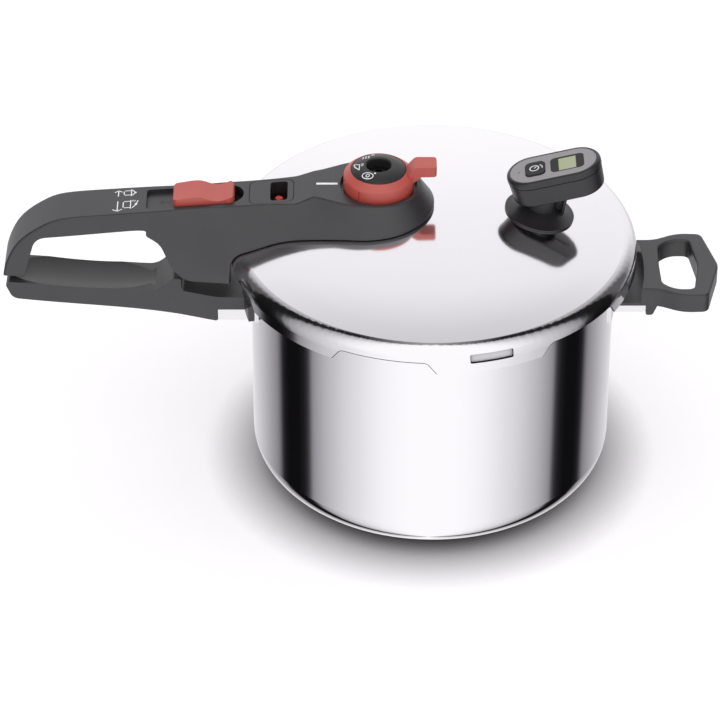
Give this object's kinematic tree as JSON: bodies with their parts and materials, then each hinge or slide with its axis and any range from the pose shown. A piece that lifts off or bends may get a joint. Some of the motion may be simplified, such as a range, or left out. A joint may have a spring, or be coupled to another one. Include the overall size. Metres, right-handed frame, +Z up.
{
  "type": "stovetop pressure cooker",
  "caption": "Stovetop pressure cooker with a bayonet lid, two long handles, a helper handle, a steam selector and a plug-on timer.",
  "frame": {"origin": "centre of the pot's underside, on the surface it stands on", "axes": "+Z up along the pot's axis, long handles towards -X, helper handle towards +X"},
  "size_m": [0.4355, 0.248, 0.2199],
  "materials": {
    "stainless_steel": "mirror-polished 18/10 stainless sheet",
    "disc_steel": "turned stainless cap of the heat-spreading disc",
    "bracket_steel": "pressed stainless, bright rolled",
    "handle_plastic": "black phenolic plastic, fine satin",
    "red_plastic": "coral red satin plastic",
    "indicator_red": "bright red satin plastic",
    "white_print": "white inlay and pad print",
    "dark_steel": "blackened steel",
    "cap_plastic": "near-black satin plastic",
    "timer_plastic": "dark grey satin plastic",
    "timer_front": "silver-grey lacquer",
    "timer_glass": "dark gloss",
    "timer_lcd": "grey-green liquid crystal",
    "board": "green board",
    "cell": "nickel-plated can",
    "silicone": "pale grey silicone",
    "fittings": "turned or pressed stainless"
  },
  "bodies": {
    "pot": {"pot_shell": "stainless_steel", "base_disc": "disc_steel", "long_handle_bracket": "bracket_steel", "short_handle_bracket": "bracket_steel", "pot_handle": "handle_plastic", "pot_handle_screw": "fittings", "short_handle": "handle_plastic", "short_handle_screw": "fittings"},
    "lid": {"lid_shell": "stainless_steel", "lid_gasket": "silicone", "lid_handle_shell": "handle_plastic", "lid_handle_cover": "handle_plastic", "lid_handle_bridge": "fittings", "lid_handle_screws": "fittings", "window_plaque": "handle_plastic", "index_mark": "white_print", "valve_body": "fittings", "valve_seal": "silicone", "valve_nut": "fittings", "valve_circlip": "fittings", "safety_valve_body": "fittings", "safety_valve_nut": "fittings", "safety_valve_spring": "fittings", "indicator_grommet": "silicone", "button_spring": "fittings", "timer_base": "timer_plastic", "timer_base_screw": "fittings", "timer_base_seal": "silicone"},
    "selector": {"selector_ring": "red_plastic", "selector_cap": "cap_plastic"},
    "weight": {"valve_weight": "dark_steel"},
    "safety_ball": {"safety_valve_ball": "fittings"},
    "indicator": {"indicator_pin": "indicator_red"},
    "button": {"slide_button": "red_plastic", "lock_bolt": "fittings"},
    "timer": {"timer_case_lower": "timer_plastic", "timer_case_upper": "timer_plastic", "timer_face_plate": "timer_front", "timer_lens": "timer_glass", "timer_display": "timer_lcd", "timer_circuit_board": "board", "timer_buzzer": "board", "timer_battery": "cell", "timer_battery_cover": "timer_plastic"},
    "timer_start": {"timer_button": "timer_glass"}
  },
  "joints": [
    {"name": "lid_turn", "type": "hinge", "parent": "pot", "child": "lid", "pos_m": [0, 0, 0.155], "axis": [0, 0, 1], "range_deg": [0, 30]},
    {"name": "selector_turn", "type": "hinge", "parent": "lid", "child": "selector", "pos_m": [-0.033, 0, 0.205], "axis": [0, 0, 1], "range_deg": [-70, 70]},
    {"name": "weight_lift", "type": "slide", "parent": "lid", "child": "weight", "axis": [0, 0, 1], "range_m": [0, 0.0015]},
    {"name": "safety_lift", "type": "slide", "parent": "lid", "child": "safety_ball", "axis": [0, 0, 1], "range_m": [0, 0.0015], "stiffness_N_per_m": 2000, "springref_m": -0.003, "deforming": ["safety_valve_spring"]},
    {"name": "indicator_rise", "type": "slide", "parent": "lid", "child": "indicator", "axis": [0, 0, 1], "range_m": [0, 0.004]},
    {"name": "button_slide", "type": "slide", "parent": "lid", "child": "button", "axis": [-0.9971, 0, -0.0757], "range_m": [0, 0.008], "stiffness_N_per_m": 250, "springref_m": -0.01, "deforming": ["button_spring"]},
    {"name": "timer_lift", "type": "slide", "parent": "lid", "child": "timer", "axis": [0.1752, 0, 0.9845], "range_m": [0, 0.03]},
    {"name": "timer_press", "type": "slide", "parent": "timer", "child": "timer_start", "axis": [0.2453, 0, -0.9694], "range_m": [0, 0.0006], "stiffness_N_per_m": 1500, "springref_m": -0.0003}
  ]
}
